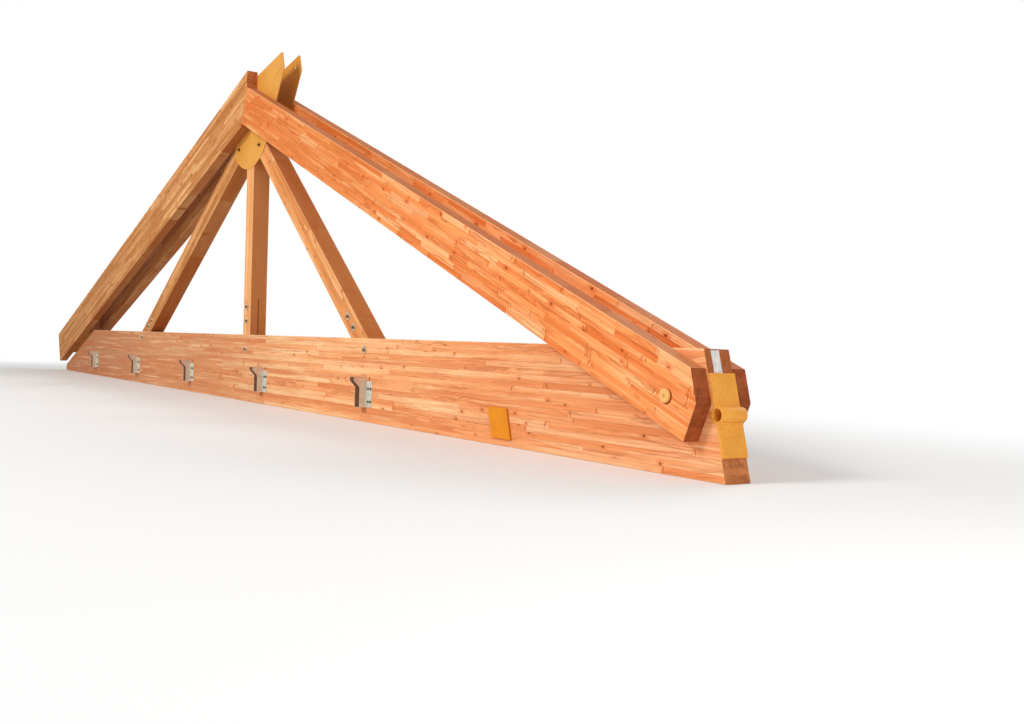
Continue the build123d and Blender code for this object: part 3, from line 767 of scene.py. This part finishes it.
def timber_materials(ridge_x):
    """One material for each timber, with its rows counted from its upper or outer edge."""
    right_edge = (ridge_x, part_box("near_right_rafter")[1].z)
    left_edge = (ridge_x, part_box("near_left_rafter")[1].z)
    end_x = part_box("bottom_chord")[1].x
    # The chord turns redder near its right end, its own tone, and duller and darker towards its left end,
    # painted shade
    chord_tone_and_shade = (
        (end_x - 3.4, end_x - 1.2, 0.4, CHORD_RED),
        (3.0, -0.8, 0.66, CHORD_FAR_PAINTED_SHADE),
        (-1.0, -4.6, 0.5, CHORD_FARTHEST_PAINTED_SHADE),
    )
    right_tone_shift = ((4.4, 1.2, 0.56, RIGHT_RED),)
    # Painted shade: the left rafters turn brown towards their low end
    left_painted_shade = ((-3.0, -5.4, 0.3, LEFT_LOW_PAINTED_SHADE),)
    made = {}
    made["bottom_chord"] = glulam(
        "bottom_chord", angle=0, base=(0, 0), seed=1.0, tones=CHORD_TONES, end_tone=CHORD_END_BROWN,
        layers=17, depth=CHORD_DEPTH, board=1.5, knots=0.16, tone_and_shade_shifts=chord_tone_and_shade,
    )
    for seed, name in ((2.0, "near_right_rafter"), (3.0, "far_right_rafter")):
        made[name] = glulam(
            name, angle=-RIGHT_PITCH, base=right_edge, seed=seed, tones=RIGHT_TONES, end_tone=END_BROWN,
            layers=9, depth=RIGHT_DEPTH, board=0.42, knots=0.22, fingers=0.4,
            tone_and_shade_shifts=right_tone_shift, pin=pin_axis(),
        )
    for seed, name in ((4.0, "near_left_rafter"), (5.0, "far_left_rafter")):
        made[name] = glulam(
            name, angle=LEFT_PITCH, base=left_edge, seed=seed, tones=LEFT_TONES, end_tone=RIDGE_END_BROWN,
            layers=12, depth=LEFT_DEPTH, board=0.8, knots=0.24, fingers=0.2, tone_and_shade_shifts=left_painted_shade,
        )
    low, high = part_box("king_post")
    made["king_post"] = glulam(
        "king_post", angle=90, base=(low.x, low.z), seed=6.4, tones=POST_TONES, end_tone=END_BROWN,
        layers=5, depth=WEB_WIDTH, board=2.6, sides=0.4,
    )
    for seed, name, tones in ((7.0, "left_diagonal", LEFT_TONES), (8.0, "right_diagonal", WEB_TONES)):
        low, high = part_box(name)
        angle = degrees(atan2(high.z - low.z, high.x - low.x))
        foot = (low.x, low.z)
        if name == "right_diagonal":
            angle = -angle
            foot = (high.x, low.z)
        made[name] = glulam(
            name, angle=angle, base=foot, seed=seed, tones=tones, end_tone=END_BROWN,
            layers=5, depth=WEB_WIDTH, board=1.1, sides=0.4,
        )
    return made


def soften(obj, width):
    """Breaks the sharp edges of a CAD piece by a small bevel."""
    weld = obj.modifiers.new("weld", "WELD")
    weld.merge_threshold = BEVEL_MERGE
    bevel = obj.modifiers.new("bevel", "BEVEL")
    bevel.width = width
    bevel.segments = BEVEL_SEGMENTS
    bevel.limit_method = "ANGLE"
    bevel.angle_limit = radians(BEVEL_ANGLE)


def dress(name, material, bevel=None):
    """Gives a CAD piece its material and, if asked, broken edges."""
    obj = nodes[name]
    obj.data.materials.clear()
    obj.data.materials.append(material)
    if bevel:
        soften(obj, bevel)


class Parts:
    """Mesh data that collects the turned forms of one piece."""

    def __init__(self):
        self.mesh = bmesh.new()

    def turned(self, origin, axis, profile, sides, turn=0.0):
        """Form turned about an axis from an origin. The profile holds (radius, distance along the axis)."""
        turning = axis.to_track_quat("Z", "Y").to_matrix()
        rings = []
        for radius, distance in profile:
            ring = []
            for k in range(sides):
                angle = 2 * pi * k / sides + turn
                point = Vector((radius * cos(angle), radius * sin(angle), distance))
                ring.append(self.mesh.verts.new(origin + turning @ point))
            rings.append(ring)
        for a, b in zip(rings, rings[1:]):
            for k in range(sides):
                self.mesh.faces.new((a[k], a[(k + 1) % sides], b[(k + 1) % sides], b[k]))
        if profile[0] != profile[-1]:
            self.mesh.faces.new(list(reversed(rings[0])))
            self.mesh.faces.new(rings[-1])

    def washer(self, origin, axis):
        """Flat washer with a softly broken outer edge."""
        profile = [
            (WASHER_BORE, 0.0),
            (WASHER_RADIUS, 0.0),
            (WASHER_RADIUS, WASHER_THICKNESS - WASHER_SOFT),
            (WASHER_RADIUS - WASHER_SOFT, WASHER_THICKNESS),
            (WASHER_BORE, WASHER_THICKNESS),
            (WASHER_BORE, 0.0),
        ]
        self.turned(origin, axis, profile, WASHER_SIDES)

    def piece(self, name, material, slot):
        """Turns what was collected into a named piece that stays with the truss."""
        bmesh.ops.remove_doubles(self.mesh, verts=self.mesh.verts, dist=PIECE_MERGE)
        bmesh.ops.recalc_face_normals(self.mesh, faces=self.mesh.faces)
        data = bpy.data.meshes.new(name)
        self.mesh.to_mesh(data)
        self.mesh.free()
        data.materials.append(material)
        obj = bpy.data.objects.new(name, data)
        bpy.context.scene.collection.objects.link(obj)
        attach(obj, "root")
        return obj


def bolt_axes(name):
    """Axis point (x, z) and both ends (y) of each bolt in a CAD node."""
    mesh = bmesh.new()
    mesh.from_mesh(nodes[name].data)
    bmesh.ops.remove_doubles(mesh, verts=mesh.verts, dist=BEVEL_MERGE)
    left = set(mesh.verts)
    found = []
    while left:
        island = [left.pop()]
        for vert in island:
            for edge in vert.link_edges:
                other = edge.other_vert(vert)
                if other in left:
                    left.remove(other)
                    island.append(other)
        places = [v.co.copy() for v in island]
        lows = [min(c[k] for c in places) for k in range(3)]
        highs = [max(c[k] for c in places) for k in range(3)]
        found.append(((lows[0] + highs[0]) / 2, (lows[2] + highs[2]) / 2, lows[1], highs[1]))
    mesh.free()
    return sorted(found)


def add_bolt_trim():
    """Washers under the nuts and heads of the foot bolts, and every bolt's threaded end beyond its nut."""
    near = -Vector(Y_AXIS)
    far = Vector(Y_AXIS)
    thread = [(THREAD_CREST if k % 2 else THREAD_ROOT, THREAD_STEP * k) for k in range(THREAD_STEPS)]
    for name in sorted(n for n in nodes if n.endswith("_bolts")):
        axes = bolt_axes(name)
        steel = apex_zinc
        if name != "apex_bolts":
            steel = bolt_zinc
            washers = Parts()
            for x, z, low, high in axes:
                washers.washer(Vector((x, low + NUT_HEIGHT, z)), near)
                washers.washer(Vector((x, high - HEAD_HEIGHT, z)), far)
            washers.piece(name.replace("_bolts", "_washers"), washer_zinc, "bolt_steel")
        ends = Parts()
        for x, z, low, high in axes:
            ends.turned(Vector((x, low, z)), near, thread + [THREAD_TIP], ROUND_SIDES)
        ends.piece(name.replace("_bolts", "_bolt_ends"), steel, "bolt_steel")


def add_hanger_screws():
    """Flanged hexagon screws through both wings of each hanger."""
    near = -Vector(Y_AXIS)
    for name in sorted(n for n in nodes if n.startswith("hanger_")):
        low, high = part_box(name)
        middle = (low.x + high.x) / 2
        screws = Parts()
        for side in (-1, 1):
            for column in SCREW_COLUMNS:
                for row in SCREW_ROWS:
                    x = middle + side * (HANGER_HALF + column)
                    start = Vector((x, -CHORD_HALF - HANGER_STEEL, row))
                    screws.turned(start, near, SCREW_FLANGE, ROUND_SIDES)
                    screws.turned(start, near, SCREW_HEAD, HEXAGON, x * HEXAGON_TURN_PER_METRE)
        screws.piece(name + "_screws", dark_steel, "bolt_steel")


def end_face_point(y, up, out):
    """Point on the chord's leaning right end, by its height along the face and its distance out."""
    lean = radians(END_LEAN)
    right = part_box("bottom_chord")[1].x
    return Vector((right - up * sin(lean) + out * cos(lean), y, up * cos(lean) + out * sin(lean)))


def end_face_middle():
    """Half the height of the chord's leaning end, along the face."""
    return CHORD_DEPTH / cos(radians(END_LEAN)) / 2


def add_end_screws():
    """Countersunk screws of the end plate, painted over with it."""
    lean = radians(END_LEAN)
    outward = Vector((cos(lean), 0, sin(lean)))
    screws = Parts()
    for y in (-END_SCREW_COLUMN, END_SCREW_COLUMN):
        for row in END_SCREW_ROWS:
            start = end_face_point(y, end_face_middle() + row, END_PLATE_THICKNESS)
            screws.turned(start, outward, SUNK_HEAD, SUNK_SIDES)
    screws.piece("end_plate_screws", ochre, "ochre_paint")


def add_welds():
    """Rippled fillet welds along both sides of the cross tube."""
    half = CHORD_HALF - WELD_INSET
    profile = []
    for k in range(WELD_STEPS + 1):
        ripple = WELD_RADIUS + WELD_RIPPLE * sin(2 * pi * k / WELD_WAVE)
        profile.append((ripple, half * (2 * k / WELD_STEPS - 1)))
    welds = Parts()
    for side in (-1, 1):
        start = end_face_point(0.0, end_face_middle() + side * WELD_FROM_AXIS, WELD_OUT)
        welds.turned(start, Vector(Y_AXIS), profile, WELD_SIDES)
    piece = welds.piece("tube_welds", ochre, "ochre_paint")
    for polygon in piece.data.polygons:
        polygon.use_smooth = True


def add_label():
    """Bare paper label on the chord's end, above the end plate."""
    mesh = bmesh.new()
    grid = []
    for r in range(LABEL_ROWS + 1):
        rise = r / LABEL_ROWS
        line = []
        for c in range(LABEL_COLUMNS + 1):
            across = c / LABEL_COLUMNS
            up = LABEL_LOW + (LABEL_HIGH - LABEL_LOW) * rise
            y = LABEL_CENTRE + LABEL_WIDTH * (across - 0.5)
            wave = LABEL_WAVE * sin(LABEL_WAVES_UP * rise + LABEL_WAVES_ACROSS * across)
            out = LABEL_LIFT + wave + LABEL_CURL * (across - 0.5) ** 2
            line.append(mesh.verts.new(end_face_point(y, up, out)))
        grid.append(line)
    for lower, upper in zip(grid, grid[1:]):
        for c in range(LABEL_COLUMNS):
            mesh.faces.new((lower[c], lower[c + 1], upper[c + 1], upper[c]))
    data = bpy.data.meshes.new("bare_label")
    mesh.to_mesh(data)
    mesh.free()
    data.materials.append(label_paper)
    obj = bpy.data.objects.new("bare_label", data)
    bpy.context.scene.collection.objects.link(obj)
    solid = obj.modifiers.new("thickness", "SOLIDIFY")
    solid.thickness = LABEL_THICKNESS
    solid.offset = 0
    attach(obj, "root")


# Materials
ridge_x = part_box("near_left_rafter")[1].x
score_line = [(ridge_x + past, height) for past, height in (SCORE_START, SCORE_END)]
timbers = timber_materials(ridge_x)
ochre = painted_steel("ochre_paint", srgb(232, 160, 66))
scored_ochre = painted_steel("scored_ochre_paint", srgb(220, 156, 66), score_line)
# Painted light: the far gusset has the gusset paint in a more golden tone, for warm light bounced onto it
# from the timber
far_warm_bounce_ochre = painted_steel("far_ochre_paint", srgb(220, 150, 46))
pin_ochre = painted_steel("pin_ochre_paint", srgb(244, 188, 114), turned=pin_axis())
plate_ochre = painted_steel("plate_ochre_paint", srgb(228, 143, 26), shaded_x_faces=True)
bolt_zinc = zinc("bolt_zinc", srgb(150, 138, 108), spangle=0.004)
washer_zinc = zinc("washer_zinc", srgb(200, 176, 146), spangle=0.005, metallic=0.55)
apex_zinc = zinc("apex_zinc", srgb(118, 92, 48), spangle=0.004, metallic=0.6)
dark_steel = zinc("dark_steel", srgb(96, 92, 84), spangle=0.004)
label_paper = paper("bare_label")

for name, material in timbers.items():
    dress(name, material)
dress("near_apex_gusset", scored_ochre, PLATE_BEVEL)
dress("far_apex_gusset", far_warm_bounce_ochre, PLATE_BEVEL)
dress("heel_pin", pin_ochre, PLATE_BEVEL)
dress("side_plate", plate_ochre, PLATE_BEVEL)
for name in ("end_fitting", "left_heel_shoe"):
    dress(name, ochre, PLATE_BEVEL)
for name in nodes:
    if name.startswith("hanger_"):
        low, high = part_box(name)
        middle = (low.x + high.x) / 2
        coat = zinc(name + "_zinc", HANGER_ZINC, spangle=0.012, metallic=0.5, hanger=middle)
        dress(name, coat, FASTENER_BEVEL)
    if name.endswith("_foot_plate"):
        dress(name, washer_zinc, FASTENER_BEVEL)
    if name.endswith("_bolts") or name.endswith("_dowels"):
        dress(name, apex_zinc if name == "apex_bolts" else bolt_zinc, FASTENER_BEVEL)
add_bolt_trim()
add_hanger_screws()
add_end_screws()
add_welds()
add_label()

# Floor and studio: sizes in metres, powers in watts
FLOOR_SIZE = 600
FLOOR_DROP = 0.001
FLOOR_GREY = (0.87, 0.87, 0.87)
FLOOR_ROUGHNESS = 0.9
FLOOR_SPECULAR = 0.1
SHADOW_HALF_LENGTH = 6.0
SHADOW_FADE = (0.6, 5.0)
WORLD_STRENGTH = 0.45
WARM = (1.0, 0.98, 0.95)
NEUTRAL = (1.0, 0.99, 0.97)


def add_lamp(name, place, target, size, power, colour):
    """Round area lamp that looks at a target."""
    data = bpy.data.lights.new(name, "AREA")
    data.shape = "DISK"
    data.size = size
    data.energy = power
    data.color = colour
    obj = bpy.data.objects.new(name, data)
    obj.location = place
    direction = Vector(target) - Vector(place)
    obj.rotation_euler = direction.to_track_quat("-Z", "Y").to_euler()
    bpy.context.scene.collection.objects.link(obj)


def stage_lamps():
    """Large soft lamps on the camera's side, a small one close to the near end and one behind."""
    add_lamp("key", (2.0, -15.0, 10.5), target=(1.0, 0.0, 1.2), size=6.0, power=1800.0, colour=WARM)
    add_lamp("fill", (16.0, -5.0, 5.0), target=(4.0, 0.0, 0.8), size=6.0, power=210.0, colour=NEUTRAL)
    add_lamp("near", (10.4, -1.4, 1.6), target=(6.3, 0.0, 0.4), size=1.6, power=62.0, colour=WARM)
    add_lamp("back", (0.0, 14.0, 9.0), target=(0.0, 0.0, 1.2), size=8.0, power=800.0, colour=WHITE)


def seen_directly(tree):
    """1 for rays that come from the camera, a reflection or a clear material, else 0."""
    path = tree.nodes.new("ShaderNodeLightPath")
    total = path.outputs["Is Camera Ray"]
    for name in ("Is Glossy Ray", "Is Transmission Ray"):
        larger = tree.nodes.new("ShaderNodeMath")
        larger.operation = "MAXIMUM"
        tree.links.new(total, larger.inputs[0])
        tree.links.new(path.outputs[name], larger.inputs[1])
        total = larger.outputs[0]
    return total


def stage_world():
    """Soft even light, and white where the background is seen."""
    world = bpy.data.worlds.new("studio")
    bpy.context.scene.world = world
    world.use_nodes = True
    tree = world.node_tree
    tree.nodes.clear()
    out = tree.nodes.new("ShaderNodeOutputWorld")
    light = tree.nodes.new("ShaderNodeBackground")
    light.inputs["Color"].default_value = (*NEUTRAL, 1.0)
    light.inputs["Strength"].default_value = WORLD_STRENGTH
    white = tree.nodes.new("ShaderNodeBackground")
    white.inputs["Color"].default_value = (*WHITE, 1.0)
    mix = tree.nodes.new("ShaderNodeMixShader")
    tree.links.new(seen_directly(tree), mix.inputs[0])
    tree.links.new(light.outputs[0], mix.inputs[1])
    tree.links.new(white.outputs[0], mix.inputs[2])
    tree.links.new(mix.outputs[0], out.inputs["Surface"])


def stage_floor():
    """Pale floor that keeps the shadow near the truss and turns white further off."""
    bpy.ops.mesh.primitive_plane_add(size=FLOOR_SIZE, location=(0, 0, -FLOOR_DROP))
    floor = bpy.context.object
    floor.name = "floor"
    g = Graph("pale_floor")
    g.shader.inputs["Base Color"].default_value = (*FLOOR_GREY, 1.0)
    g.shader.inputs["Roughness"].default_value = FLOOR_ROUGHNESS
    g.shader.inputs["Specular IOR Level"].default_value = FLOOR_SPECULAR
    x, y, _ = g.split(g.place())
    beyond = g.math("MAXIMUM", g.minus(g.math("ABSOLUTE", x), SHADOW_HALF_LENGTH), 0.0)
    distance = g.vector("LENGTH", g.combine(beyond, y, 0.0))
    far = g.remap(distance, *SHADOW_FADE, smooth=True)
    glow = g.tree.nodes.new("ShaderNodeEmission")
    glow.inputs["Color"].default_value = (*WHITE, 1.0)
    mix = g.tree.nodes.new("ShaderNodeMixShader")
    g.link(g.times(far, seen_directly(g.tree)), mix.inputs[0])
    g.link(g.shader.outputs[0], mix.inputs[1])
    g.link(glow.outputs[0], mix.inputs[2])
    g.link(mix.outputs[0], g.output.inputs["Surface"])
    floor.data.materials.append(g.material)


def add_photo_camera():
    """Camera at the photo's viewing point, with its lens and shift."""
    data = bpy.data.cameras.new("photo_camera")
    data.sensor_width = SENSOR
    data.lens = FOCAL_PIXELS * SENSOR / PHOTO_WIDTH
    data.shift_x = (PHOTO_WIDTH / 2 - CENTRE_X) / PHOTO_WIDTH
    data.shift_y = (CENTRE_Y - PHOTO_HEIGHT / 2) / PHOTO_WIDTH
    data.clip_end = CLIP_END
    camera = bpy.data.objects.new("photo_camera", data)
    axes = Matrix((CAMERA_RIGHT, -CAMERA_DOWN, -CAMERA_AHEAD)).transposed().to_4x4()
    camera.matrix_world = Matrix.Translation(CAMERA_PLACE) @ axes
    bpy.context.scene.collection.objects.link(camera)
    bpy.context.scene.camera = camera


stage_world()
stage_floor()
stage_lamps()
add_photo_camera()
bpy.context.scene.view_settings.view_transform = "Standard"
